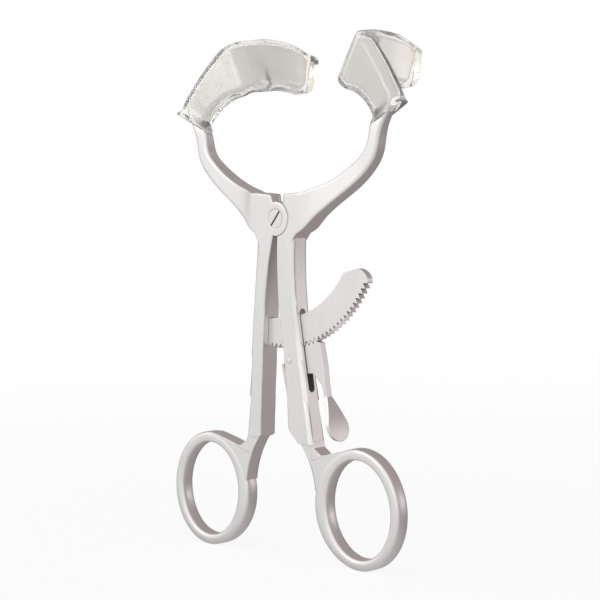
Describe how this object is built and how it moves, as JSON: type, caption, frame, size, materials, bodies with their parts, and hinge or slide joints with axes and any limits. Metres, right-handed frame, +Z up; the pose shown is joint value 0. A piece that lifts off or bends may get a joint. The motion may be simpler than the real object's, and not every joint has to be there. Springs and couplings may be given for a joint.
{
  "type": "mouth gag",
  "caption": "Ratcheting surgical mouth gag: crossed steel halves with finger rings, toothed locking bar, release lever and silicone-sleeved blades.",
  "frame": {"origin": "on the pivot axis, in the middle of the steel's thickness", "axes": "+Z up from the finger rings to the blades, +Y from the front face towards the blade tips, +X across the halves, towards the half that carries the release lever"},
  "size_m": [0.082, 0.0366, 0.1388],
  "materials": {
    "steel": "satin stainless steel, bead blasted",
    "spring_steel": "smooth spring steel",
    "silicone": "translucent milky silicone"
  },
  "bodies": {
    "left": {"left_half": "steel", "ratchet_bar": "steel", "ratchet_bar_pin": "steel", "left_blade_sleeve": "silicone"},
    "right": {"right_half": "steel", "pivot_screw": "steel", "pawl_pin": "steel", "leaf_spring": "spring_steel", "leaf_spring_rivet": "steel", "right_blade_sleeve": "silicone"},
    "lever": {"pawl_lever": "steel"}
  },
  "joints": [
    {"name": "jaw_hinge", "type": "hinge", "parent": "left", "child": "right", "pos_m": [0, 0, 0], "axis": [0, 1, 0], "range_deg": [-39.75, 7.95]},
    {"name": "pawl_release", "type": "hinge", "parent": "right", "child": "lever", "pos_m": [0.00448, 0, -0.037], "axis": [0, 1, 0], "range_deg": [0, 9.5], "stiffness_Nm_per_rad": 0.05, "springref_deg": -8.59, "deforming": ["leaf_spring"]}
  ]
}
